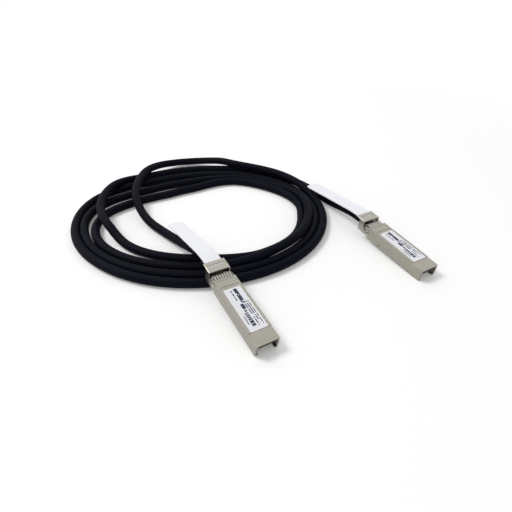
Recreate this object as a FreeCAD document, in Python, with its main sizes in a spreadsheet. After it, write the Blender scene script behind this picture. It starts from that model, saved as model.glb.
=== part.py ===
import FreeCAD, Part
import math
import os

import Sketcher
from FreeCAD import Rotation, Vector

# A direct attach copper cable: two die-cast plugs joined by a twin axial cable that lies
# in a loose coil. The origin is the middle of plug A's nose, where it meets the ground,
# +X is the way that plug A goes into its cage and +Z is up. Both plugs are the same, so
# each piece is built twice, in the plug's own frame: x forward, z up, nose at x = 0.

doc = FreeCAD.newDocument("direct_attach_cable")
sheet = doc.addObject("Spreadsheet::Sheet", "Sizes")


class Size:
    """A size with its value and the sheet formula that gives it."""

    def __init__(self, value, text):
        self.value = value
        self.text = text

    def __add__(self, other):
        other = as_size(other)
        return Size(self.value + other.value, f"({self.text} + {other.text})")

    def __radd__(self, other):
        return as_size(other) + self

    def __sub__(self, other):
        other = as_size(other)
        return Size(self.value - other.value, f"({self.text} - {other.text})")

    def __rsub__(self, other):
        return as_size(other) - self

    def __mul__(self, other):
        other = as_size(other)
        return Size(self.value * other.value, f"({self.text} * {other.text})")

    def __rmul__(self, other):
        return as_size(other) * self

    def __truediv__(self, other):
        other = as_size(other)
        return Size(self.value / other.value, f"({self.text} / {other.text})")

    def __neg__(self):
        return Size(-self.value, f"(-{self.text})")


def as_size(number):
    return number if isinstance(number, Size) else Size(float(number), repr(float(number)))


def sine(angle):
    return Size(math.sin(math.radians(angle.value)), f"sin({angle.text} * 1 deg)")


def cosine(angle):
    return Size(math.cos(math.radians(angle.value)), f"cos({angle.text} * 1 deg)")


# Driving dimensions in millimetres, and angles in degrees
plug_width = 13.4  # width of the die-cast shell
plug_height = 8.5  # height of the shell
shell_length = 47.0  # nose to the collar
wall = 1.0  # side wall of the shell
floor = 0.9  # floor of the shell
nose_round = 0.8  # round at the lower front corner of the legs
hood_length = 8.3  # open nose under the hood
hood_drop = 0.4  # step from the cover down to the hood
hood_thickness = 0.9  # top plate of the nose
foot_width = 0.7  # foot that turns inwards under each nose leg
cover_thickness = 0.9  # plate of the cover
cover_sink = 0.15  # cover below the tops of the side walls
fit_gap = 0.05  # gap around a piece that is fitted into another
bulkhead = 1.0  # rear wall of the shell
tail_length = 5.6  # narrow tail that carries the collar
tail_width = 11.0  # width of the tail
tail_drop = 1.3  # tail below the top of the shell
tail_rise = 0.4  # tail above the bottom of the shell

label_inset = 8.3  # label's rear end ahead of the collar
label_width = 10.4  # label
label_thickness = 0.15  # label
label_sink = 0.05  # pocket that the label is stuck into
groove_width = 0.5  # cross groove in the cover behind the label
groove_depth = 0.25  # cross groove in the cover

card_room = 15.8  # from the card's rear edge to the collar
card_inset = 1.2  # card's front edge behind the nose
card_width = 9.2  # tongue of the card
card_wide = 10.9  # card behind its tongue
card_thickness = 1.0  # card
card_bottom = 3.5  # underside of the card above the plug's bottom
ledge_width = 1.2  # ledge that carries the card
pad_pitch = 0.8  # contact pads
pad_width = 0.55  # contact pad
pad_length = 3.6  # contact pad
pad_thickness = 0.06  # contact pad
pad_inset = 0.6  # contact pad behind the card's front edge
chip_size = 3.0  # memory chip
chip_height = 0.9  # memory chip

core_radius = 1.15  # shielded pair of wires
core_spacing = 2.5  # between the two shielded pairs
core_gap = 1.5  # from the card's rear edge to the pairs
wire_radius = 0.25  # bare conductor
wire_spacing = 0.9  # between the conductors of one pair
wire_reach = 3.5  # length of conductor soldered onto the card
spigot_radius = 2.75  # front end of the boot, inside the shell
spigot_length = 4.0  # boot in front of the bulkhead
ferrule_thickness = 0.45  # crimp ferrule

cable_diameter = 6.1  # twin axial cable
cable_axis = 4.2  # cable's axis above the plug's bottom
boot_radius = 4.05  # round lobe of the boot
boot_waist = 3.55  # groove between the boot's lobes
boot_length = 8.0  # boot behind the tail
boot_end_wall = 0.4  # boot's rubber at its rear end

collar_thickness = 0.25  # spring-finger collar
collar_length = 5.0  # collar along the plug
finger_count = 7  # fingers across the top
finger_width = 1.0  # spring finger
finger_height = 1.2  # bow of a finger above the collar
finger_strip = 0.2  # thickness of a finger

slider_plate = 0.7  # thickness of the slider's top plate
slider_side = 0.5  # thickness of the slider's arms
slider_rise = 1.2  # top of the slider above the shell
slider_front = 5.8  # slider's top plate behind the shell
slider_length = 4.5  # slider's top plate along the plug
arm_height = 1.9  # arm of the slider
arm_bottom = 1.0  # arm above the plug's bottom
arm_reach = 11.5  # arm in front of the collar
arm_play = 0.08  # gap between an arm and its groove
cheek_radius = 3.2  # round notch of the slider's cheek
slot_width = 0.9  # slot that takes the tab's bead
ridge_width = 2.6  # bar behind the slot
slider_bend = 0.5  # outer bend of the slider
travel = 2.2  # how far the slider is pulled
lug_length = 0.6  # lug that pushes the spring
lug_place = 6.0  # front of the lug ahead of the collar
lug_inset = 2.7  # how far the lug reaches into the shell

boss_length = 3.2  # latch boss under the shell
boss_width = 4.6  # latch boss
boss_height = 0.9  # latch boss
boss_inset = 15.5  # front of the latch boss ahead of the collar

spring_radius = 0.7  # return spring to the middle of its wire
spring_wire = 0.3  # return spring's wire
spring_turns = 4  # turns of the return spring

screw_inset = 9.8  # cover screws ahead of the collar
screw_spacing = 8.1  # between the cover screws
screw_head_radius = 1.2  # cover screw
screw_head_height = 0.45  # cover screw
screw_radius = 0.6  # cover screw
screw_length = 4.2  # cover screw
post_radius = 1.4  # post under the cover

tab_width = 10.4  # pull tab
tab_thickness = 0.7  # pull tab
tab_length = 62.1  # pull tab along its strap, from the start of its bend
tab_bend = 52.0  # radius of the pull tab's bend
tab_corner = 2.4  # rounded corners of the tab's end
tab_droop_a_deg = 16.5  # bend of plug A's tab, degrees
tab_droop_b_deg = 10.2  # bend of plug B's tab, degrees

pitch_a_deg = 8.0  # plug A's nose down, degrees
roll_a_deg = -2.5  # plug A's roll, degrees
pitch_b_deg = 5.0  # plug B's nose down, degrees
yaw_b_deg = -1.6  # plug B turned from plug A, degrees
plug_b_x = 1.2  # plug B's nose
plug_b_y = 115.0  # plug B's nose

coil_x = -134.0  # middle of the coil
coil_y = 28.0  # middle of the coil
coil_turn_deg = 59.4  # coil's long axis, degrees
coil_outer_long = 95.0  # outside of the coil, half its length
coil_outer_share = 0.89  # outside of the coil, its width as a share of its length
coil_inner_long = 66.5  # inside of the coil, half its length
coil_inner_share = 0.726  # inside of the coil, its width as a share of its length
coil_inner_along = 5.9  # middle of the inside, along the coil's long axis
coil_inner_across = -4.8  # middle of the inside, across the coil's long axis
coil_inner_turn_deg = 12.2  # long axis of the inside from that of the coil, degrees

# Each number above goes into a cell of the sheet and becomes a Size of the same name
numbers = {name: value for name, value in globals().items() if isinstance(value, (int, float))}
for row, (alias, value) in enumerate(numbers.items(), start=1):
    sheet.set(f"A{row}", alias)
    sheet.set(f"B{row}", str(value))
    sheet.setAlias(f"B{row}", alias)
    globals()[alias] = Size(float(value), f"Sizes.{alias}")
doc.recompute()

# Heights and places that several pieces share
half_width = plug_width / 2
label_length = shell_length - hood_length - label_inset
screw_place = shell_length - screw_inset
boss_place = shell_length - boss_inset
coil_outer_short = coil_outer_long * coil_outer_share
coil_inner_short = coil_inner_long * coil_inner_share
hood_top = plug_height - hood_drop
hood_seat = hood_top - hood_thickness
cover_top = plug_height - cover_sink
cover_bottom = cover_top - cover_thickness
card_top = card_bottom + card_thickness
card_front = -card_inset
card_rear = -(shell_length - card_room)
card_length = card_front - card_rear
tail_top = plug_height - tail_drop
tail_end = -(shell_length + tail_length)
cavity_rear = -(shell_length - bulkhead)
slider_top = plug_height + slider_rise
plate_front = -(shell_length + slider_front)
plate_rear = plate_front - slider_length
ridge_front = plate_rear - slot_width
ridge_rear = ridge_front - ridge_width
plate_bottom = slider_top - slider_plate
arm_top = arm_bottom + arm_height
arm_tip = -(shell_length - arm_reach)
lug_front = -(shell_length - lug_place)
lug_rear = lug_front - lug_length
spring_side = half_width - slider_side - lug_inset + spring_radius + spring_wire
spring_height = arm_bottom + arm_height / 2
boot_end = tail_end - boot_length
core_height = card_top + wire_radius
core_front = card_rear - core_gap
core_rear = cavity_rear + spigot_length


def bind(thing, place, amount):
    """Ties a property to the sheet."""
    thing.setExpression(place, as_size(amount).text)


def plug_placement(letter):
    """Where a plug lies: its nose touches the ground and its rear lies on the cable."""
    half = half_width.value
    if letter == "a":
        lift = half * math.sin(math.radians(abs(roll_a_deg.value)))
        return FreeCAD.Placement(Vector(0, 0, lift), Rotation(0, pitch_a_deg.value, roll_a_deg.value))
    spot = Vector(plug_b_x.value, plug_b_y.value, 0)
    return FreeCAD.Placement(spot, Rotation(yaw_b_deg.value, pitch_b_deg.value, 0))


def body_named(name):
    body = doc.addObject("PartDesign::Body", name)
    body.Label = name
    return body


def sketch_on(body, role, offset=0):
    """A sketch on one of the body's own origin planes, moved along the plane's normal."""
    plane = [f for f in body.Origin.OriginFeatures if f.Role == role][0]
    sketch = body.newObject("Sketcher::SketchObject", body.Name + "_sketch")
    sketch.AttachmentSupport = [(plane, "")]
    sketch.MapMode = "FlatFace"
    bind(sketch, "AttachmentOffset.Base.z", offset)
    return sketch


def tie(sketch, kind, geometry, point, amount):
    """Holds a sketch point at a distance from the sketch's origin."""
    value = as_size(amount).value
    index = sketch.addConstraint(Sketcher.Constraint(kind, -1, 1, geometry, point, value))
    bind(sketch, f"Constraints[{index}]", amount)


def arc_centre(start, end, radius, side):
    """Centre of the arc from start to end: side is 1 for a left turn and -1 for a right."""
    chord = end - start
    middle = (start + end) * 0.5
    across = Vector(-chord.y, chord.x, 0).normalize()
    rise = math.sqrt(max(radius ** 2 - (chord.Length / 2) ** 2, 0))
    return middle + across * rise * side


def outline(sketch, steps):
    """Draws a closed outline. A step is (x, y), or (x, y, radius, side) for an arc to it."""
    spots = [Vector(as_size(s[0]).value, as_size(s[1]).value, 0) for s in steps]
    ends = []
    first = sketch.GeometryCount
    for i, step in enumerate(steps):
        start, end = spots[i - 1], spots[i]
        if len(step) == 2:
            sketch.addGeometry(Part.LineSegment(start, end), False)
            ends.append((1, 2))
            continue
        radius, side = as_size(step[2]).value, step[3]
        centre = arc_centre(start, end, radius, side)
        low, high = (start, end) if side > 0 else (end, start)
        angles = [math.atan2(p.y - centre.y, p.x - centre.x) for p in (low, high)]
        circle = Part.Circle(centre, Vector(0, 0, 1), radius)
        sketch.addGeometry(Part.ArcOfCircle(circle, angles[0], angles[1]), False)
        ends.append((1, 2) if side > 0 else (2, 1))
    count = len(steps)
    for i in range(count):
        follower = (i + 1) % count
        sketch.addConstraint(Sketcher.Constraint(
            "Coincident", first + i, ends[i][1], first + follower, ends[follower][0]))
    for i, step in enumerate(steps):
        tie(sketch, "DistanceX", first + i, ends[i][1], step[0])
        tie(sketch, "DistanceY", first + i, ends[i][1], step[1])
        if len(step) == 4:
            value = as_size(step[2]).value
            index = sketch.addConstraint(Sketcher.Constraint("Radius", first + i, value))
            bind(sketch, f"Constraints[{index}]", step[2])


def rectangle(sketch, x_low, x_high, y_low, y_high):
    outline(sketch, [(x_low, y_low), (x_high, y_low), (x_high, y_high), (x_low, y_high)])


def disc(sketch, x, y, radius):
    spot = Vector(as_size(x).value, as_size(y).value, 0)
    value = as_size(radius).value
    index = sketch.addGeometry(Part.Circle(spot, Vector(0, 0, 1), value), False)
    tie(sketch, "DistanceX", index, 3, x)
    tie(sketch, "DistanceY", index, 3, y)
    radius_index = sketch.addConstraint(Sketcher.Constraint("Radius", index, value))
    bind(sketch, f"Constraints[{radius_index}]", radius)


def pad(body, sketch, length, side="One side", backwards=False):
    feature = body.newObject("PartDesign::Pad", body.Name + "_pad")
    feature.Profile = sketch
    feature.SideType = side
    feature.Reversed = backwards
    bind(feature, "Length", length)
    sketch.Visibility = False
    doc.recompute()
    return feature


def pocket(body, sketch, length, side="One side", backwards=False):
    """Cuts a pocket, and stops if it took nothing away."""
    before = body.Shape.Volume
    feature = body.newObject("PartDesign::Pocket", body.Name + "_pocket")
    feature.Profile = sketch
    feature.SideType = side
    feature.Reversed = backwards
    bind(feature, "Length", length)
    sketch.Visibility = False
    doc.recompute()
    if body.Shape.Volume > before - 1e-4:
        raise RuntimeError(f"{feature.Name} in {body.Label} cuts nothing")
    return feature


def edges_where(shape, test):
    """Names of the edges whose middle and direction pass the test."""
    names = []
    for i, edge in enumerate(shape.Edges):
        middle = edge.valueAt((edge.FirstParameter + edge.LastParameter) / 2)
        span = edge.BoundBox
        if test(middle, Vector(span.XLength, span.YLength, span.ZLength)):
            names.append(f"Edge{i + 1}")
    return names


def round_edges(body, test, radius, kind="Fillet"):
    """Rounds or chamfers the edges of the body's last feature that pass the test."""
    last = body.Tip
    names = edges_where(last.Shape, test)
    if not names:
        raise RuntimeError(f"no edge to work on in {body.Label}")
    feature = body.newObject(f"PartDesign::{kind}", body.Name + "_edge")
    feature.Base = (last, names)
    bind(feature, "Radius" if kind == "Fillet" else "Size", radius)
    doc.recompute()
    return feature


def box(name, x_low, x_high, y_low, y_high, z_low, z_high):
    solid = doc.addObject("Part::Box", name)
    bind(solid, "Length", x_high - x_low)
    bind(solid, "Width", y_high - y_low)
    bind(solid, "Height", z_high - z_low)
    bind(solid, "Placement.Base.x", x_low)
    bind(solid, "Placement.Base.y", y_low)
    bind(solid, "Placement.Base.z", z_low)
    return solid


def rod(name, x_low, x_high, y, z, radius):
    """A cylinder along the plug."""
    solid = doc.addObject("Part::Cylinder", name)
    bind(solid, "Radius", radius)
    bind(solid, "Height", x_high - x_low)
    solid.Placement = FreeCAD.Placement(Vector(), Rotation(Vector(0, 1, 0), 90))
    bind(solid, "Placement.Base.x", x_low)
    bind(solid, "Placement.Base.y", y)
    bind(solid, "Placement.Base.z", z)
    return solid


def group(name, solids):
    """One node made of separate like solids."""
    compound = doc.addObject("Part::Compound", name)
    compound.Label = name
    compound.Links = solids
    return compound


def base_shell(letter):
    """Lower casting: floor, side walls, bulkhead, nose legs, card ledges and latch boss."""
    body = body_named("base_shell_" + letter)
    sketch = sketch_on(body, "XZ_Plane")
    outline(sketch, [
        (-shell_length, 0),
        (-nose_round, 0),
        (0, nose_round, nose_round, 1),
        (0, hood_seat),
        (-hood_length, hood_seat),
        (-hood_length, plug_height),
        (-shell_length, plug_height),
    ])
    pad(body, sketch, plug_width, "Symmetric")

    inner_side = half_width - wall
    sketch = sketch_on(body, "XY_Plane", floor)
    rectangle(sketch, cavity_rear, 1, -inner_side, inner_side)
    pocket(body, sketch, plug_height, backwards=True)

    foot_side = inner_side - foot_width
    sketch = sketch_on(body, "XY_Plane", floor)
    rectangle(sketch, -hood_length, 1, -foot_side, foot_side)
    pocket(body, sketch, floor * 2)

    sketch = sketch_on(body, "XY_Plane", floor)
    for side in (-1, 1):
        edge, ledge = side * inner_side, side * (inner_side - ledge_width)
        low, high = (edge, ledge) if side < 0 else (ledge, edge)
        rectangle(sketch, card_rear, -hood_length, low, high)
    pad(body, sketch, card_bottom - floor)

    sketch = sketch_on(body, "YZ_Plane", tail_end)
    rectangle(sketch, -tail_width / 2, tail_width / 2, tail_rise, tail_top)
    pad(body, sketch, tail_length)

    sketch = sketch_on(body, "YZ_Plane", tail_end)
    disc(sketch, 0, cable_axis, spigot_radius + fit_gap)
    pocket(body, sketch, tail_length + bulkhead * 2, backwards=True)

    for side in (-1, 1):
        sketch = sketch_on(body, "XZ_Plane", side * half_width)
        rectangle(sketch, -shell_length - 1, arm_tip + arm_play,
                  arm_bottom - arm_play, arm_top + arm_play)
        pocket(body, sketch, slider_side + arm_play, backwards=side < 0)

    sketch = sketch_on(body, "XZ_Plane")
    rectangle(sketch, lug_rear - travel - arm_play, lug_front + arm_play,
              arm_bottom + arm_play * 2, arm_top - arm_play * 2)
    pocket(body, sketch, plug_width * 2, "Symmetric")

    sketch = sketch_on(body, "XZ_Plane")
    outline(sketch, [
        (-boss_place, 0),
        (-(boss_place + boss_length), 0),
        (-(boss_place + boss_length), -boss_height),
        (-(boss_place + boss_length / 2), -boss_height),
    ])
    pad(body, sketch, boss_width, "Symmetric")

    sketch = sketch_on(body, "XY_Plane")
    for side in (-1, 1):
        disc(sketch, -screw_place, side * screw_spacing / 2, screw_radius + fit_gap)
    pocket(body, sketch, floor * 2, "Symmetric")
    sketch = sketch_on(body, "XY_Plane")
    for side in (-1, 1):
        disc(sketch, -screw_place, side * screw_spacing / 2, screw_head_radius + fit_gap)
    pocket(body, sketch, screw_head_height, backwards=True)
    return body


def cover(letter):
    """Upper casting: plate between the side walls, hood over the nose, two screw posts."""
    body = body_named("cover_" + letter)
    half_plate = half_width - wall - fit_gap
    sketch = sketch_on(body, "XZ_Plane")
    rectangle(sketch, cavity_rear + fit_gap, -hood_length, cover_bottom, cover_top)
    pad(body, sketch, half_plate * 2, "Symmetric")
    sketch = sketch_on(body, "XZ_Plane")
    rectangle(sketch, -hood_length, 0, hood_seat, hood_top)
    pad(body, sketch, plug_width, "Symmetric")

    sketch = sketch_on(body, "XY_Plane", floor)
    for side in (-1, 1):
        disc(sketch, -screw_place, side * screw_spacing / 2, post_radius)
    pad(body, sketch, cover_bottom - floor)
    sketch = sketch_on(body, "XY_Plane", floor)
    for side in (-1, 1):
        disc(sketch, -screw_place, side * screw_spacing / 2, screw_radius + fit_gap)
    pocket(body, sketch, screw_length, backwards=True)

    sketch = sketch_on(body, "XY_Plane", cover_top - label_sink)
    rectangle(sketch, -(hood_length + label_length), -hood_length,
              -label_width / 2, label_width / 2)
    pocket(body, sketch, 1, backwards=True)

    groove_front = -(hood_length + label_length + wall * 2)
    sketch = sketch_on(body, "XZ_Plane")
    rectangle(sketch, groove_front - groove_width, groove_front, cover_top - groove_depth, cover_top + 1)
    pocket(body, sketch, plug_width, "Symmetric")

    top = hood_top.value
    round_edges(body, lambda p, span: abs(p.x) < 1e-3 and abs(p.z - top) < 1e-3, 0.3, "Chamfer")
    return body


def label(letter):
    low = cover_top - label_sink
    half = label_width / 2 - fit_gap
    solid = box("label_" + letter, -(hood_length + label_length - fit_gap), -(hood_length + fit_gap),
                -half, half, low, low + label_thickness)
    return solid


def paddle_card(letter):
    """Circuit card: a narrow tongue in the nose and a wider rear on the ledges."""
    body = body_named("paddle_card_" + letter)
    narrow, wide = card_width / 2, card_wide / 2
    shoulder = -(hood_length + fit_gap)
    sketch = sketch_on(body, "XY_Plane", card_bottom)
    outline(sketch, [
        (card_front, -narrow),
        (card_front, narrow),
        (shoulder, narrow),
        (shoulder, wide),
        (card_rear, wide),
        (card_rear, -wide),
        (shoulder, -wide),
        (shoulder, -narrow),
    ])
    pad(body, sketch, card_thickness)
    front = card_front.value
    round_edges(body, lambda p, span: abs(p.x - front) < 1e-3 and span.y > 1, 0.25, "Chamfer")
    return body


def contact_pads(letter):
    """Ten gold pads on each face of the card's tongue."""
    solids = []
    pad_front = card_front - pad_inset
    for level, low in (("top", card_top), ("bottom", card_bottom - pad_thickness)):
        for i in range(10):
            middle = pad_pitch * (i - 4.5)
            solids.append(box(f"pad_{level}_{i}_{letter}", pad_front - pad_length, pad_front,
                              middle - pad_width / 2, middle + pad_width / 2, low, low + pad_thickness))
    return group("contact_pads_" + letter, solids)


def memory_chip(letter):
    front = card_front - card_length / 2
    side = card_wide / 4
    return box("memory_chip_" + letter, front - chip_size, front,
               side - chip_size / 2, side + chip_size / 2, card_top, card_top + chip_height)


def coupling_capacitors(letter):
    """Four small capacitors on the card, one in each wire's track."""
    solids = []
    front = card_front - card_length / 3
    for i in range(4):
        middle = wire_spacing * 2 * (i - 1.5)
        solids.append(box(f"capacitor_{i}_{letter}", front - wire_spacing, front,
                          middle - wire_radius, middle + wire_radius, card_top, card_top + wire_radius * 2))
    return group("coupling_capacitors_" + letter, solids)


def shielded_pairs(letter):
    solids = []
    for side in (-1, 1):
        solids.append(rod(f"pair_{side + 1}_{letter}", core_rear, core_front,
                          side * core_spacing / 2, core_height, core_radius))
    return group("shielded_pairs_" + letter, solids)


def conductors(letter):
    """Four bare wires from the shielded pairs onto the card."""
    solids = []
    for side in (-1, 1):
        for wire in (-1, 1):
            middle = side * core_spacing / 2 + wire * wire_spacing / 2
            solids.append(rod(f"wire_{side + 1}_{wire + 1}_{letter}", core_front, card_rear + wire_reach,
                              middle, core_height, wire_radius))
    return group("conductors_" + letter, solids)


def crimp_ferrule(letter):
    """Crimped ring that grips the braid on the boot's spigot."""
    name = "crimp_ferrule_" + letter
    outer = rod(name + "_outer", cavity_rear + fit_gap, core_rear - fit_gap, 0, cable_axis,
                spigot_radius + ferrule_thickness)
    inner = rod(name + "_inner", cavity_rear + fit_gap, core_rear - fit_gap, 0, cable_axis, spigot_radius)
    ring = doc.addObject("Part::Cut", name)
    ring.Label = name
    ring.Base = outer
    ring.Tool = inner
    return ring


def cable_boot(letter):
    """Moulded rubber boot: a spigot inside the shell, two round lobes, then a taper."""
    body = body_named("cable_boot_" + letter)
    axis_height = cable_axis
    lobe = boot_radius - boot_waist
    end_radius = cable_diameter / 2 + boot_end_wall
    sketch = sketch_on(body, "XZ_Plane")
    shoulder = tail_end - fit_gap
    lobe_end = shoulder - lobe * 9
    outline(sketch, [
        (core_rear, axis_height),
        (core_rear, axis_height + spigot_radius),
        (shoulder, axis_height + spigot_radius),
        (shoulder, axis_height + boot_waist),
        (shoulder - lobe, axis_height + boot_radius, lobe, -1),
        (shoulder - lobe * 4, axis_height + boot_radius),
        (shoulder - lobe * 5, axis_height + boot_waist, lobe, -1),
        (lobe_end, axis_height + boot_waist - lobe / 2),
        (boot_end, axis_height + end_radius),
        (boot_end, axis_height),
    ])
    line = sketch.addGeometry(Part.LineSegment(
        Vector(core_rear.value, axis_height.value, 0), Vector(boot_end.value, axis_height.value, 0)), True)
    tie(sketch, "DistanceX", line, 1, core_rear)
    tie(sketch, "DistanceY", line, 1, axis_height)
    tie(sketch, "DistanceX", line, 2, boot_end)
    tie(sketch, "DistanceY", line, 2, axis_height)
    turned = body.newObject("PartDesign::Revolution", body.Name + "_revolution")
    turned.Profile = sketch
    turned.ReferenceAxis = (sketch, ["Axis0"])
    turned.Angle = 360
    sketch.Visibility = False
    doc.recompute()
    return body


def emi_collar(letter):
    """Stamped clip over the tail, with bowed spring fingers on its top and sides."""
    body = body_named("emi_collar_" + letter)
    front = -(shell_length + fit_gap)
    inner_side = tail_width / 2
    outer_side = inner_side + collar_thickness
    outer_top = tail_top + collar_thickness
    leg_end = arm_top + arm_play * 4
    sketch = sketch_on(body, "YZ_Plane", front - collar_length)
    outline(sketch, [
        (-outer_side, leg_end),
        (-inner_side, leg_end),
        (-inner_side, tail_top),
        (inner_side, tail_top),
        (inner_side, leg_end),
        (outer_side, leg_end),
        (outer_side, outer_top),
        (-outer_side, outer_top),
    ])
    pad(body, sketch, collar_length)

    def bow(sketch, level, outward):
        """A finger from the side: it leaves the clip's rear edge and arches forwards."""
        rear, tip = front - collar_length, front - collar_thickness
        chord = (tip - rear).value / 2
        rise = finger_height.value
        radius = Size((chord ** 2 + rise ** 2) / (2 * rise),
                      f"(({(tip - rear).text} / 2) ^ 2 + {finger_height.text} ^ 2)"
                      f" / (2 * {finger_height.text})")
        turn = -outward
        outline(sketch, [
            (rear, level),
            (tip, level, radius, turn),
            (tip, level - outward * finger_strip),
            (rear, level - outward * finger_strip, radius, -turn),
        ])

    pitch = tail_width / finger_count
    start = -(tail_width - pitch) / 2
    sketch = sketch_on(body, "XZ_Plane", -start)
    bow(sketch, outer_top, 1)
    finger = pad(body, sketch, finger_width, "Symmetric")
    row = body.newObject("PartDesign::LinearPattern", body.Name + "_row")
    row.Originals = [finger]
    axis = [f for f in body.Origin.OriginFeatures if f.Role == "Y_Axis"][0]
    row.Direction = (axis, [""])
    bind(row, "Length", tail_width - pitch)
    bind(row, "Occurrences", finger_count)
    body.Tip = row
    doc.recompute()

    leg = outer_top - leg_end
    for side in (-1, 1):
        for place in (1, 3):
            level = leg_end + leg * place / 4
            sketch = sketch_on(body, "XY_Plane", level)
            bow(sketch, side * outer_side, side)
            pad(body, sketch, finger_width, "Symmetric")
    return body


def latch_slider(letter):
    """Stamped bracket: top plate with a slot and bar, cheeks, arms, lugs and wedge tips."""
    body = body_named("latch_slider_" + letter)
    cheek_bottom = arm_bottom
    heel = cheek_radius / 2
    sketch = sketch_on(body, "XZ_Plane")
    outline(sketch, [
        (plate_front, slider_top),
        (ridge_rear, slider_top),
        (ridge_rear, plate_bottom),
        (plate_rear, plate_bottom),
        (plate_rear, cheek_bottom + heel),
        (plate_rear + heel, cheek_bottom, heel, 1),
        (arm_tip - arm_height, cheek_bottom),
        (arm_tip, cheek_bottom + arm_height / 3),
        (arm_tip, arm_top),
        (plate_front + cheek_radius, arm_top),
        (plate_front, arm_top + cheek_radius, cheek_radius, -1),
    ])
    pad(body, sketch, plug_width, "Symmetric")

    inner_side = half_width - slider_side
    sketch = sketch_on(body, "YZ_Plane", ridge_rear - 1)
    rectangle(sketch, -inner_side, inner_side, 0, plate_bottom)
    pocket(body, sketch, -ridge_rear, backwards=True)

    slot_side = tab_width / 2 + fit_gap * 2
    sketch = sketch_on(body, "XY_Plane", plate_bottom)
    rectangle(sketch, ridge_front, plate_rear, -slot_side, slot_side)
    pocket(body, sketch, slider_plate * 2, backwards=True)

    low, high = arm_bottom + arm_play * 3, arm_top - arm_play * 3
    for side in (-1, 1):
        sketch = sketch_on(body, "XZ_Plane", side * inner_side)
        rectangle(sketch, lug_rear, lug_front, low, high)
        pad(body, sketch, lug_inset, backwards=side > 0)

    half, top = half_width.value, slider_top.value
    round_edges(body, lambda p, span: abs(abs(p.y) - half) < 1e-3 and abs(p.z - top) < 1e-3, slider_bend)
    return body


def pull_tab(letter, droop):
    """Flat strap: a bead in the slider's slot, a short flat root, a bend, a long end."""
    body = body_named("pull_tab_" + letter)
    root_top = plate_bottom - fit_gap
    root_low = root_top - tab_thickness
    bead_front = plate_rear - fit_gap * 2
    bead_rear = ridge_front + fit_gap * 2
    bend_start = ridge_rear - tab_thickness
    sin, cos = sine(droop), cosine(droop)
    inside = tab_bend
    outside = tab_bend + tab_thickness
    low_x = bend_start - inside * sin
    low_z = root_low - inside * (1 - cos)
    high_x = bend_start - outside * sin
    high_z = root_top - outside * (1 - cos)
    straight = tab_length - outside * droop * math.pi / 180
    sketch = sketch_on(body, "XZ_Plane")
    outline(sketch, [
        (bead_front, root_low),
        (bead_front, plate_bottom + slider_plate / 2),
        (bead_rear, plate_bottom + slider_plate / 2),
        (bead_rear, root_top),
        (bend_start, root_top),
        (high_x, high_z, outside, 1),
        (high_x - straight * cos, high_z - straight * sin),
        (low_x - straight * cos, low_z - straight * sin),
        (low_x, low_z),
        (bend_start, root_low, inside, -1),
    ])
    pad(body, sketch, tab_width, "Symmetric")
    far = (high_x - straight * cos).value + tab_thickness.value
    half = tab_width.value / 2
    round_edges(body, lambda p, span: p.x < far and abs(abs(p.y) - half) < 1e-3 and span.x < 1
                and span.y < 1e-3, tab_corner)
    return body


def return_springs(letter):
    """Two coil springs inside the shell, between the slider's lugs and the bulkhead."""
    solids = []
    wire = spring_wire.value / 2
    length = (lug_rear - cavity_rear).value - spring_wire.value
    start = cavity_rear.value + wire
    for side in (-1, 1):
        helix = Part.makeHelix(length / spring_turns.value, length, spring_radius.value)
        ring = Part.Wire(Part.makeCircle(wire, Vector(spring_radius.value, 0, 0), Vector(0, 1, 0)))
        coil = Part.Wire(helix).makePipeShell([ring], True, True)
        spring = doc.addObject("Part::Feature", f"spring_{side + 1}_{letter}")
        spring.Shape = coil
        spring.Placement = FreeCAD.Placement(
            Vector(start, side * spring_side.value, spring_height.value), Rotation(Vector(0, 1, 0), 90))
        solids.append(spring)
    return group("return_springs_" + letter, solids)


def cover_screws(letter):
    """Two screws that go up through the floor into the cover's posts."""
    solids = []
    for side in (-1, 1):
        name = f"screw_{side + 1}_{letter}"
        head = doc.addObject("Part::Cylinder", name + "_head")
        bind(head, "Radius", screw_head_radius)
        bind(head, "Height", screw_head_height)
        shank = doc.addObject("Part::Cylinder", name + "_shank")
        bind(shank, "Radius", screw_radius)
        bind(shank, "Height", screw_length)
        for piece in (head, shank):
            bind(piece, "Placement.Base.x", -screw_place)
            bind(piece, "Placement.Base.y", side * screw_spacing / 2)
        screw = doc.addObject("Part::Fuse", name)
        screw.Base = head
        screw.Tool = shank
        solids.append(screw)
    return group("cover_screws_" + letter, solids)


def rounded_wire(points):
    """Straight runs joined by tangent arcs, each as large as its two runs allow."""
    pieces = []
    start = points[0]
    for i in range(1, len(points) - 1):
        before, corner, after = points[i - 1], points[i], points[i + 1]
        into = (before - corner).normalize()
        out = (after - corner).normalize()
        turn = math.pi - into.getAngle(out)
        reach = 0.45 * min((before - corner).Length, (after - corner).Length)
        radius = reach / math.tan(turn / 2)
        arc_start, arc_end = corner + into * reach, corner + out * reach
        middle_way = (into + out).normalize()
        middle = corner + middle_way * (radius / math.cos(turn / 2) - radius)
        pieces.append(Part.LineSegment(start, arc_start))
        pieces.append(Part.Arc(arc_start, middle, arc_end))
        start = arc_end
        print(f"  bend radius {radius:.1f} mm, turn {math.degrees(turn):.0f} degrees")
    pieces.append(Part.LineSegment(start, points[-1]))
    return Part.Wire([piece.toShape() for piece in pieces])


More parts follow.
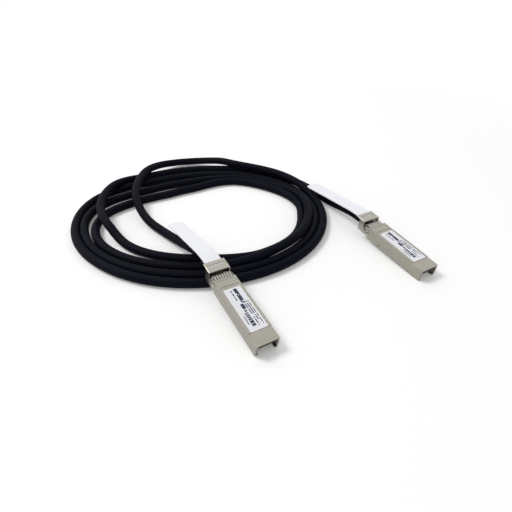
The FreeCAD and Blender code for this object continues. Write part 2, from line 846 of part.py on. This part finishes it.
def cable_tail(name, points):
    """One stretch of the cable between its plug and the coil."""
    print(name)
    path = rounded_wire(points)
    radius = cable_diameter.value / 2
    direction = points[1] - points[0]
    ring = Part.Wire(Part.makeCircle(radius, points[0], direction))
    solid = path.makePipeShell([ring], True, True)
    expected = math.pi * radius ** 2 * path.Length
    if abs(solid.Volume - expected) > 0.02 * expected:
        raise RuntimeError(f"{name} has volume {solid.Volume:.0f}, not {expected:.0f}")
    print(f"  length {path.Length:.0f} mm")
    tail = doc.addObject("Part::Feature", name)
    tail.Shape = solid
    return tail


def cable_coil():
    """The cable's loose coil as one flat ring with round edges."""
    rings = []
    for name, long_half, short_half in (("coil_outer", coil_outer_long, coil_outer_short),
                                        ("coil_inner", coil_inner_long, coil_inner_short)):
        ellipse = doc.addObject("Part::Ellipse", name + "_line")
        bind(ellipse, "MajorRadius", long_half)
        bind(ellipse, "MinorRadius", short_half)
        solid = doc.addObject("Part::Extrusion", name)
        solid.Base = ellipse
        solid.DirMode = "Custom"
        solid.Dir = Vector(0, 0, 1)
        bind(solid, "LengthFwd", cable_diameter)
        solid.Solid = True
        rings.append(solid)
    inside = rings[1]
    inside.Placement.Rotation = Rotation(Vector(0, 0, 1), coil_inner_turn_deg.value)
    bind(inside, "Placement.Base.x", coil_inner_along)
    bind(inside, "Placement.Base.y", coil_inner_across)
    cut = doc.addObject("Part::Cut", "coil_ring")
    cut.Base, cut.Tool = rings
    doc.recompute()
    coil = doc.addObject("Part::Fillet", "cable_coil")
    coil.Label = "cable_coil"
    coil.Base = cut
    edge_round = cable_diameter.value * 0.45
    coil.Edges = [(i + 1, edge_round, edge_round) for i, edge in enumerate(cut.Shape.Edges)
                  if edge.BoundBox.ZLength < 1e-6]
    coil.Placement.Rotation = Rotation(Vector(0, 0, 1), coil_turn_deg.value)
    bind(coil, "Placement.Base.x", coil_x)
    bind(coil, "Placement.Base.y", coil_y)
    return coil


# The cable's way from each boot to the coil. The first point of each list is the middle
# of the boot's rear face, and the second lies straight behind it.
def behind_boot(letter, back):
    spot = Vector(boot_end.value - back, 0, cable_axis.value)
    return plug_placement(letter).multVec(spot)


def by_coil(along, across, layers):
    """A place in shares of the coil's half length and width, and in cable diameters up."""
    turned = Rotation(Vector(0, 0, 1), coil_turn_deg.value).multVec(
        Vector(along * coil_outer_long.value, across * coil_outer_short.value, 0))
    return turned + Vector(coil_x.value, coil_y.value, layers * cable_diameter.value)


tail_a_points = [
    behind_boot("a", 0),
    behind_boot("a", 9),
    by_coil(0.018, -0.710, 2.00),
    by_coil(-0.092, -0.585, 1.51),
    by_coil(-0.208, -0.468, 0.95),
    by_coil(-0.317, -0.336, 0.61),
    by_coil(-0.418, -0.183, 0.56),
    by_coil(-0.504, -0.028, 0.82),
    by_coil(-0.566, 0.134, 1.44),
    by_coil(-0.602, 0.294, 1.59),
    by_coil(-0.622, 0.507, 1.62),
    by_coil(-0.604, 0.725, 1.62),
    by_coil(-0.534, 0.927, 1.18),
    by_coil(-0.404, 1.069, 0.72),
    by_coil(-0.237, 1.126, 0.62),
    by_coil(-0.068, 1.086, 0.95),
    by_coil(0.075, 1.001, 1.44),
    by_coil(0.193, 0.911, 1.52),
]
tail_b_points = [
    behind_boot("b", 0),
    behind_boot("b", 9),
    by_coil(1.087, 0.008, 1.26),
    by_coil(1.015, 0.153, 0.75),
    by_coil(0.941, 0.323, 0.57),
    by_coil(0.868, 0.494, 0.54),
    by_coil(0.767, 0.634, 0.52),
]

# Every piece, plug by plug, then the cable
nodes = []
for plug, droop_angle in (("a", tab_droop_a_deg), ("b", tab_droop_b_deg)):
    pieces = [
        base_shell(plug),
        cover(plug),
        label(plug),
        paddle_card(plug),
        contact_pads(plug),
        memory_chip(plug),
        coupling_capacitors(plug),
        shielded_pairs(plug),
        conductors(plug),
        crimp_ferrule(plug),
        cable_boot(plug),
        emi_collar(plug),
        latch_slider(plug),
        pull_tab(plug, droop_angle),
        return_springs(plug),
        cover_screws(plug),
    ]
    for piece in pieces:
        nodes.append((piece, plug_placement(plug)))
nodes.append((cable_coil(), None))
nodes.append((cable_tail("cable_tail_a", tail_a_points), None))
nodes.append((cable_tail("cable_tail_b", tail_b_points), None))
doc.recompute()

# Checks, then one STEP file for each node
for thing in doc.Objects:
    if "Invalid" in thing.State or "Error" in thing.State:
        raise RuntimeError(f"{thing.Name} failed: {thing.State}")
os.makedirs("parts", exist_ok=True)
for piece, placement in nodes:
    shape = piece.Shape.copy()
    if placement is not None:
        shape.Placement = placement.multiply(shape.Placement)
    if shape.isNull() or not shape.isValid():
        raise RuntimeError(f"{piece.Label} has no valid shape")
    shape.exportStep(f"parts/{piece.Label}.step")
    print(piece.Label, len(shape.Solids), round(shape.Volume, 2))
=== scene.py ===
import math

import bpy
from mathutils import Matrix, Vector


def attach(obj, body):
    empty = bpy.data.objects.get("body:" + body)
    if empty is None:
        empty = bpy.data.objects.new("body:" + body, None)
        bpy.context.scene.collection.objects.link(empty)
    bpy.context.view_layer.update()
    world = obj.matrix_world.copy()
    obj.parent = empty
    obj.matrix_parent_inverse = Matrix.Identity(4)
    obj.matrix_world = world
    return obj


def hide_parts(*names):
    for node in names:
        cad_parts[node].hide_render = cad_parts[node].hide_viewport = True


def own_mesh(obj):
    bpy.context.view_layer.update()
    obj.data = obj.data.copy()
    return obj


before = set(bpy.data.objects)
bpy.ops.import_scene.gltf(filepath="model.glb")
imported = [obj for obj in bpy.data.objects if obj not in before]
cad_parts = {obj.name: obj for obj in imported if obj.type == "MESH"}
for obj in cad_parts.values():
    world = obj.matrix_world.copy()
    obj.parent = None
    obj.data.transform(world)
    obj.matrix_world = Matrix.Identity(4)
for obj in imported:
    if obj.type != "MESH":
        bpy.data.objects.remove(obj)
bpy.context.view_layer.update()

# The camera stands at the front right and looks down 37 degrees on the coil.
# Its place and lens come from both plugs in the photograph.
camera_data = bpy.data.cameras.new("camera")
camera_data.lens = 27.49
camera_data.sensor_width = 36
camera_data.clip_start = 0.01
camera_data.clip_end = 20
camera = bpy.data.objects.new("camera", camera_data)
camera.location = (0.1067, -0.0691, 0.1559)
look = Vector((-0.0713, 0.0361, 0)) - camera.location
camera.rotation_euler = look.to_track_quat("-Z", "Y").to_euler()
bpy.context.scene.collection.objects.link(camera)
bpy.context.scene.camera = camera
bpy.context.scene.view_settings.view_transform = "Standard"

# The cable is one black twin axial cable in an extruded jacket, moulded into the boot of a
# plug at each end. From plug A it goes inside the coil, over its left side and behind it,
# and makes four loose turns to plug B. Its route is in millimetres.
CABLE_DIAMETER = 0.0061
METRE = 1000
GROUND = 3.1
ON_TOP = 9.25
tail_a = [
    (-59.48, 0.18, 12.9),
    (-68.4, 0.18, 14.1),
    (-81.5, -1.1, 12.1),
    (-95.9, -2.9, 8.1),
    (-110.0, -4.6, 4.8),
    (-124.9, -7.9, 3.5),
    (-140.9, -12.2, 3.5),
    (-156.6, -13.6, 5.1),
    (-171.8, -12.6, 9.0),
    (-185.5, -8.6, 10.0),
    (-201.0, -1.0, 9.9),
    (-216.0, 9.8, 9.9),
    (-227.3, 24.2, 7.2),
    (-231.3, 41.0, 4.4),
    (-227.4, 57.1, 3.8),
    (-216.3, 69.2, 5.8),
    (-203.2, 77.2, 8.8),
    (-191.0, 83.0, 9.3),
]
tail_b = [
    (-143.0, 118.4, 3.2),
    (-128.0, 120.4, 3.3),
    (-112.0, 120.3, 3.6),
    (-96.0, 119.4, 4.8),
    (-82.0, 118.0, 7.8),
    (-67.7, 116.9, 10.2),
    (-58.75, 116.66, 9.47),
]

# Each pair is the angle round the coil in degrees and the strand's place across the bundle,
# in thirds of the bundle's width, from 0 inside to 3 outside.
lanes = [
    # Down from the top of the bundle at the back, and along the outside.
    (110, 2.75), (120, 2.65), (135, 2.6), (150, 2.65), (163, 2.75), (175, 2.72),
    (190, 2.67), (210, 2.75), (225, 2.82), (250, 2.85), (290, 2.93), (310, 2.95),
    (330, 3.08), (350, 3.18), (365, 3.25), (378, 3.12), (388, 2.8), (398, 2.42),
    (410, 2.08), (425, 1.9), (450, 1.88),
    # Second place from the outside.
    (460, 2.0), (480, 1.96), (500, 1.96), (515, 1.8), (530, 1.58), (540, 1.55),
    (550, 1.62), (565, 1.78), (580, 1.96), (610, 2.03), (640, 2.0), (697, 2.4),
    (710, 2.5), (722, 2.47), (735, 2.1), (748, 1.55), (760, 1.1), (775, 0.87),
    # Third place, lying on its neighbours at the right.
    (795, 0.88), (810, 1.1), (820, 1.35), (840, 1.2), (860, 1.08), (890, 0.7),
    (900, 0.64), (910, 0.74), (930, 1.2), (960, 1.38), (980, 1.13), (990, 1.02),
    (1005, 1.03), (1040, 1.45), (1053, 1.6), (1066, 1.6), (1078, 1.4), (1090, 0.98),
    (1102, 0.45), (1115, 0.02),
    # Along the inside.
    (1130, -0.3), (1150, -0.2), (1160, 0.12), (1170, 0.5), (1180, 0.72), (1190, 0.6),
    (1210, 0.25), (1240, 0.0), (1260, -0.3), (1270, -0.1), (1290, 0.55), (1300, 0.68),
    (1320, 0.7), (1340, 0.2), (1350, 0.02), (1365, -0.05),
    # Over the other three at the left, and down outside them towards plug B.
    (1405, -0.05), (1413, 0.1), (1421, 0.4), (1430, 0.85), (1445, 1.6), (1458, 2.25),
    (1468, 2.7), (1478, 2.98), (1486, 3.08), (1530, 3.08), (1561, 3.3),
]

# Each pair is the angle and the height of the strand's middle.
heights = [
    (110, ON_TOP), (135, ON_TOP), (150, 7.6), (163, 4.4), (175, GROUND),
    (848, GROUND), (862, 4.2), (878, 6.7), (890, 7.5), (950, 7.4), (970, 4.6), (985, GROUND),
    (1405, GROUND), (1413, 5), (1421, 9), (1428, 9.55), (1465, 9.55), (1475, 8.2),
    (1484, 5.0), (1492, GROUND), (1561, GROUND),
]
ANGLE_STEP = 10

# Two ellipses bound the bundle: middle, half length, half width and turn in degrees.
INSIDE = ((-126.9, 30.6), 69.6, 51.4, 71.6)
OUTSIDE = ((-132.9, 26.6), 91.5, 80.5, 59.4)
INSIDE_START = 167.8
OUTSIDE_START = 180
BUNDLE_THIRDS = 3


def between(table, angle):
    """The value at an angle, on a straight line between two pairs."""
    for (start, low), (end, high) in zip(table, table[1:]):
        if start <= angle <= end:
            return low + (high - low) * (angle - start) / (end - start)
    return table[-1][1]


def on_ellipse(middle, long_half, short_half, turn, around):
    """The point of a turned ellipse at an angle round it."""
    spot = Matrix.Rotation(math.radians(turn), 2) @ Vector(
        (long_half * math.cos(math.radians(around)), short_half * math.sin(math.radians(around))))
    return spot + Vector(middle)


def coil_point(angle):
    """A point of the coil, between the two ellipses."""
    inside = on_ellipse(*INSIDE, INSIDE_START - angle)
    outside = on_ellipse(*OUTSIDE, OUTSIDE_START - angle)
    across = inside.lerp(outside, between(lanes, angle) / BUNDLE_THIRDS)
    return (across.x, across.y, between(heights, angle))


route = list(tail_a)
for angle in range(lanes[0][0], lanes[-1][0] + 1, ANGLE_STEP):
    route.append(coil_point(angle))
route += tail_b

# Blender's box of a curve grows by its points' radius, whatever the bevel, so the radius
# holds the thickness and the bevel is 1.
curve = bpy.data.curves.new("cable", "CURVE")
curve.dimensions = "3D"
curve.bevel_depth = 1
curve.bevel_resolution = 7
curve.resolution_u = 8
curve.use_fill_caps = True
spline = curve.splines.new("NURBS")
spline.points.add(len(route) - 1)
for point, place in zip(spline.points, route):
    point.co = (*(coordinate / METRE for coordinate in place), 1)
    point.radius = CABLE_DIAMETER / 2
spline.order_u = 3
spline.use_endpoint_u = True
cable = bpy.data.objects.new("cable", curve)
bpy.context.scene.collection.objects.link(cable)
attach(cable, "cable_and_plugs")
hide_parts("cable_coil", "cable_tail_a", "cable_tail_b")
[coordinate / METRE for coordinate in route[0]]


class Signal:
    """One value in a material's node tree, with the arithmetic of shader maths."""

    def __init__(self, tree, socket=None):
        self.tree = tree
        self.socket = socket

    def put(self, kind, *inputs, out=0, **settings):
        """Adds any node, fills its inputs in order and gives one of its outputs."""
        node = self.tree.nodes.new(kind)
        for name, value in settings.items():
            setattr(node, name, value)
        for index, value in enumerate(inputs):
            if isinstance(value, Signal):
                self.tree.links.new(value.socket, node.inputs[index])
            elif value is not None:
                node.inputs[index].default_value = value
        return Signal(self.tree, node.outputs[out])

    def maths(self, operation, *inputs):
        return self.put("ShaderNodeMath", *inputs, operation=operation)

    def __add__(self, other):
        return self.maths("ADD", self, other)

    __radd__ = __add__

    def __mul__(self, other):
        return self.maths("MULTIPLY", self, other)

    __rmul__ = __mul__

    def __sub__(self, other):
        return self.maths("SUBTRACT", self, other)

    def __rsub__(self, other):
        return self.maths("SUBTRACT", other, self)

    def __gt__(self, other):
        return self.maths("GREATER_THAN", self, other)

    def __lt__(self, other):
        return self.maths("LESS_THAN", self, other)


def material(name, colour, roughness, metallic=0.0, specular=0.5):
    """A material with one Principled node, and the same values all over."""
    new = bpy.data.materials.new(name)
    new.use_nodes = True
    shader = new.node_tree.nodes["Principled BSDF"]
    shader.inputs["Base Color"].default_value = (*colour, 1)
    shader.inputs["Roughness"].default_value = roughness
    shader.inputs["Metallic"].default_value = metallic
    shader.inputs["Specular IOR Level"].default_value = specular
    return new


def on_surface(surface):
    """The place on the object, as the signal that a material's changes start from."""
    return Signal(surface.node_tree).put("ShaderNodeTexCoord", out=3)


def feed(signal, name):
    """Links a signal to an input of its material's Principled node."""
    shader = signal.tree.nodes["Principled BSDF"]
    signal.tree.links.new(signal.socket, shader.inputs[name])


def noise(place, scale, detail=3.0):
    return place.put("ShaderNodeTexNoise", place, None, scale, detail)


def bump(height, strength, distance):
    """Makes small changes of height seen, in metres, through the normal."""
    normal = height.put("ShaderNodeBump")
    inputs = normal.socket.node.inputs
    inputs["Strength"].default_value = strength
    inputs["Distance"].default_value = distance
    height.tree.links.new(height.socket, inputs["Height"])
    feed(normal, "Normal")


def blend_colours(share, first, second):
    """Mixes two colours by a share."""
    node = share.put("ShaderNodeMix", data_type="RGBA").socket.node
    factor, start, end = node.inputs[0], node.inputs[6], node.inputs[7]
    start.default_value = (*first, 1)
    end.default_value = (*second, 1)
    share.tree.links.new(share.socket, factor)
    return Signal(share.tree, node.outputs[2])


jacket = material("jacket", (0.0025, 0.0034, 0.0075), 0.6, specular=0.05)
grain = noise(on_surface(jacket), 900.0)
bump(grain, 0.15, 0.0002)
feed(grain * 0.16 + 0.5, "Roughness")
curve.materials.append(jacket)


# The castings are nickel-plated zinc: satin, a little warm, with a fine cast grain.
# The cover's plate sits between the side walls of the base shell.
def finish_node(name, surface, edge, segments=2):
    """Gives a CAD node its material and soft edges."""
    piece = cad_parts[name]
    piece.data.materials.clear()
    piece.data.materials.append(surface)
    weld = piece.modifiers.new("weld", "WELD")
    weld.merge_threshold = 1e-6
    if edge:
        bevel = piece.modifiers.new("edges", "BEVEL")
        bevel.width = edge
        bevel.segments = segments
        bevel.limit_method = "ANGLE"
        bevel.angle_limit = math.radians(35)
    normals = piece.modifiers.new("normals", "WEIGHTED_NORMAL")
    normals.keep_sharp = True
    return piece


casting = material("casting", (0.34, 0.32, 0.28), 0.38, metallic=1.0)
place = on_surface(casting)
clouds = noise(place, 160.0)
feed(blend_colours(clouds, (0.365, 0.345, 0.298), (0.43, 0.41, 0.362)), "Base Color")
feed(clouds * 0.1 + 0.21, "Roughness")
bump(noise(place, 2600.0, 2.0), 0.05, 0.00003)
for plug in "ab":
    finish_node("base_shell_" + plug, casting, 0.00014)
    finish_node("cover_" + plug, casting, 0.00012)

# Printed label on the cover, white paper with generic bars and ruled fields in place of the
# printing. It is stuck into a shallow pocket behind the hood.
LABEL_REAR = -0.03865
LABEL_FRONT = -0.00835
LABEL_HALF_WIDTH = 0.00515
LABEL_CORNER = 0.0006
LABEL_UNDERSIDE = 0.0083
LABEL_TOP = 0.00846
CORNER_STEPS = 6

# Where each plug lies, from its own axes with the middle of its nose as the origin.
PLUGS = {
    "a": Matrix.Translation((0, 0, 0.00029)) @ Matrix.Rotation(math.radians(8), 4, "Y")
    @ Matrix.Rotation(math.radians(-2.5), 4, "X"),
    "b": Matrix.Translation((0.0012, 0.115, 0)) @ Matrix.Rotation(math.radians(-1.6), 4, "Z")
    @ Matrix.Rotation(math.radians(5), 4, "Y"),
}
paper = material("label", (0.86, 0.87, 0.90), 0.42)
place = on_surface(paper)
x = place.put("ShaderNodeSeparateXYZ", place, out=0) * -METRE
y = place.put("ShaderNodeSeparateXYZ", place, out=1) * METRE


def field(start, length, side, height, pitch=0.0, share=0.6):
    """A printed field in millimetres behind the nose, solid or in bars of one pitch."""
    inside = (x > start) * (x < start + length) * (y > side) * (y < side + height)
    if not pitch:
        return inside
    bar = x.maths("FLOOR", x * (1 / pitch))
    random = x.put("ShaderNodeTexWhiteNoise", None, bar, noise_dimensions="1D")
    return inside * (random < share)


ink = field(27.2, 10.4, 0.1, 0.75, 0.9, 0.75)
for start, length, side, height, pitch, share in (
        (27.2, 10.4, 0.75, 0.8, 0.65, 0.8),
        (27.2, 10.4, 1.45, 0.75, 1.1, 0.7),
        (29.4, 7.8, -1.8, 0.7, 0.5, 0.75),
        (22.8, 3.7, -1.4, 2.0, 0.75, 0.8),
        (21.0, 1.2, -1.3, 1.4, 0, 1),
        (11.0, 9.4, -2.2, 2.2, 0.3, 0.6),
        (12.6, 6.8, -3.6, 0.5, 0.5, 0.7),
        (18.4, 9.6, 1.2, 0.6, 0.6, 0.75),
        (10.6, 6.0, 1.0, 0.6, 0.6, 0.75),
        (13.4, 14.4, 2.4, 0.55, 0.7, 0.7),
        (10.6, 17.0, 3.6, 0.5, 0.6, 0.65)):
    ink = ink + field(start, length, side, height, pitch, share)
ink = ink.maths("MINIMUM", ink, 1.0)
feed(blend_colours(ink, (0.84, 0.85, 0.89), (0.02, 0.025, 0.07)), "Base Color")


def label_rim():
    """The label's outline with its four round corners, against the clock from the front."""
    rim = []
    for end, side, start in ((LABEL_FRONT, 1, 0), (LABEL_REAR, 1, 90),
                             (LABEL_REAR, -1, 180), (LABEL_FRONT, -1, 270)):
        middle_x = end + LABEL_CORNER * (1 if end == LABEL_REAR else -1)
        middle_y = side * (LABEL_HALF_WIDTH - LABEL_CORNER)
        for step in range(CORNER_STEPS + 1):
            turn = math.radians(start + 90 * step / CORNER_STEPS)
            rim.append((middle_x + LABEL_CORNER * math.cos(turn), middle_y + LABEL_CORNER * math.sin(turn)))
    return rim


rim = label_rim()
count = len(rim)
points = [(px, py, pz) for pz in (LABEL_UNDERSIDE, LABEL_TOP) for px, py in rim]
faces = [tuple(reversed(range(count))), tuple(range(count, 2 * count))]
faces += [(i, (i + 1) % count, (i + 1) % count + count, i + count) for i in range(count)]
for plug, where in PLUGS.items():
    mesh = bpy.data.meshes.new("printed_label_" + plug)
    mesh.from_pydata(points, [], faces)
    mesh.materials.append(paper)
    printed = bpy.data.objects.new("printed_label_" + plug, mesh)
    bpy.context.scene.collection.objects.link(printed)
    printed.matrix_world = where
    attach(printed, "cable_and_plugs")
    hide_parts("label_" + plug)

# Paddle card with its gold contacts, chip and capacitors, seen only in the open nose.
# Glass fibre under green solder mask, with the small parts soldered on.
mask = material("card", (0.003, 0.02, 0.012), 0.35)
gold = material("gold", (0.85, 0.62, 0.24), 0.25, metallic=1.0)
chip_black = material("chip", (0.02, 0.02, 0.022), 0.5)
capacitor_tan = material("capacitor", (0.42, 0.33, 0.24), 0.5)
for plug in "ab":
    finish_node("paddle_card_" + plug, mask, 0)
    finish_node("contact_pads_" + plug, gold, 0)
    finish_node("memory_chip_" + plug, chip_black, 0.00006)
    finish_node("coupling_capacitors_" + plug, capacitor_tan, 0)

# Inside the shell: foil-wrapped pairs, bare conductors soldered to the card, and the
# ferrule crimped round the boot. Nobody sees them in the picture, so their finish is plain.
foil = material("foil", (0.75, 0.75, 0.76), 0.35, metallic=1.0)
tinned = material("wire", (0.78, 0.74, 0.68), 0.3, metallic=1.0)
ferrule = material("ferrule", (0.70, 0.67, 0.60), 0.35, metallic=1.0)
for plug in "ab":
    finish_node("shielded_pairs_" + plug, foil, 0)
    finish_node("conductors_" + plug, tinned, 0)
    finish_node("crimp_ferrule_" + plug, ferrule, 0)

# Return springs: steel wire coils between the bulkhead and the slider's lugs, which get shorter as
# the slider goes back. Each plug's springs are copied into an object with a mesh of its own, in place of
# the CAD node.
spring_wire = material("spring", (0.55, 0.55, 0.56), 0.3, metallic=1.0)
for plug, where in PLUGS.items():
    node = finish_node("return_springs_" + plug, spring_wire, 0)
    coils = node.copy()
    coils.name = "coil_springs_" + plug
    coils.data = node.data.copy()
    coils.parent = None
    coils.matrix_world = node.matrix_world
    bpy.context.scene.collection.objects.link(coils)
    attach(coils, "cable_and_plugs")
    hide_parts("return_springs_" + plug)
    into_plug = where.inverted() @ coils.matrix_world
    along = [(into_plug @ vertex.co).x for vertex in coils.data.vertices]
    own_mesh(coils)

# The boot is black moulded rubber with two round lobes under the slider. It is moulded onto
# the cable and held in the shell by its spigot.
rubber = material("boot", (0.012, 0.012, 0.013), 0.5)
bump(noise(on_surface(rubber), 1500.0), 0.1, 0.0001)
for plug in "ab":
    finish_node("cable_boot_" + plug, rubber, 0.0001)

# The spring-finger collar is stamped from bright spring steel and clipped over the shell's
# tail, where its bowed fingers touch the cage.
bright = material("collar", (0.46, 0.44, 0.40), 0.28, metallic=1.0)
for plug in "ab":
    finish_node("emi_collar_" + plug, bright, 0.00003)

# The latch slider is bent from stainless sheet, with drawn edges and a fine grain along
# the plug. It slides on the shell's sides.
stainless = material("latch", (0.44, 0.42, 0.37), 0.3, metallic=1.0)
streaks = noise(on_surface(stainless), 700.0)
feed(streaks * 0.18 + 0.22, "Roughness")
for plug in "ab":
    finish_node("latch_slider_" + plug, stainless, 0.0001)

# The pull tab is a flexible white strap, slightly cool, with a bead moulded through the
# slider's slot. It drapes over the cable.
strap = material("tab", (0.91, 0.92, 0.97), 0.5)
bump(noise(on_surface(strap), 350.0), 0.06, 0.0002)
for plug in "ab":
    finish_node("pull_tab_" + plug, strap, 0.00018, 3)

# The cover's screws are steel with a dark zinc plate and go in from under the shell.
# Their heads lie in round recesses.
zinc = material("screw", (0.30, 0.30, 0.31), 0.4, metallic=1.0)
for plug in "ab":
    finish_node("cover_screws_" + plug, zinc, 0.00005)

# Plain pale floor that fades into the white background beyond the cable, so that only the
# soft shadows show. The camera alone sees it a little brighter than it is lit.
FLOOR_HALF = 1.5
FLOOR_DROP = 0.00005
FADE_START = 0.28
FADE_END = 0.5
FLOOR_LIFT = 0.125
corners = [(-FLOOR_HALF, -FLOOR_HALF, 0), (FLOOR_HALF, -FLOOR_HALF, 0),
           (FLOOR_HALF, FLOOR_HALF, 0), (-FLOOR_HALF, FLOOR_HALF, 0)]
mesh = bpy.data.meshes.new("floor")
mesh.from_pydata(corners, [], [(0, 1, 2, 3)])
floor = bpy.data.objects.new("floor", mesh)
floor.location = (-0.1, 0.05, -FLOOR_DROP)
bpy.context.scene.collection.objects.link(floor)
ground = material("floor", (0.97, 0.97, 0.97), 0.9, specular=0.0)
place = on_surface(ground)
from_middle = place.put("ShaderNodeVectorMath", place, out=1, operation="LENGTH")
feed(place.put("ShaderNodeMapRange", from_middle, FADE_START, FADE_END, 1.0, 0.0), "Alpha")
lift = Signal(ground.node_tree).put("ShaderNodeLightPath") * FLOOR_LIFT
feed(lift.put("ShaderNodeCombineXYZ", lift, lift, lift), "Emission Color")
ground.node_tree.nodes["Principled BSDF"].inputs["Emission Strength"].default_value = 1
mesh.materials.append(ground)

# The studio is white all round for the camera and in reflections, and lights the object
# a little more softly than that.
WORLD_LIGHT = 0.57
world = bpy.data.worlds.new("world")
world.use_nodes = True
bpy.context.scene.world = world
background = world.node_tree.nodes["Background"]
background.inputs["Color"].default_value = (1, 1, 1, 1)
paths = Signal(world.node_tree).put("ShaderNodeLightPath").socket.node
camera_ray, glossy_ray, transmission_ray = (
    Signal(world.node_tree, paths.outputs[name])
    for name in ("Is Camera Ray", "Is Glossy Ray", "Is Transmission Ray"))
strength = (camera_ray + glossy_ray + transmission_ray) * (1 - WORLD_LIGHT) + WORLD_LIGHT
strength = strength.maths("MINIMUM", strength, 1.0)
world.node_tree.links.new(strength.socket, background.inputs["Strength"])

# One square softbox hangs high on the left, so that the shadows fall to the right. It is
# wide and far away, so that they are soft and the floor is lit evenly.
softbox = bpy.data.lights.new("softbox", "AREA")
softbox.size = 0.85
softbox.energy = 28
lamp = bpy.data.objects.new("softbox", softbox)
lamp.location = (-1.15, -0.99, 2.0)
aim = Vector((-0.11, 0.04, 0)) - lamp.location
lamp.rotation_euler = aim.to_track_quat("-Z", "Y").to_euler()
bpy.context.scene.collection.objects.link(lamp)
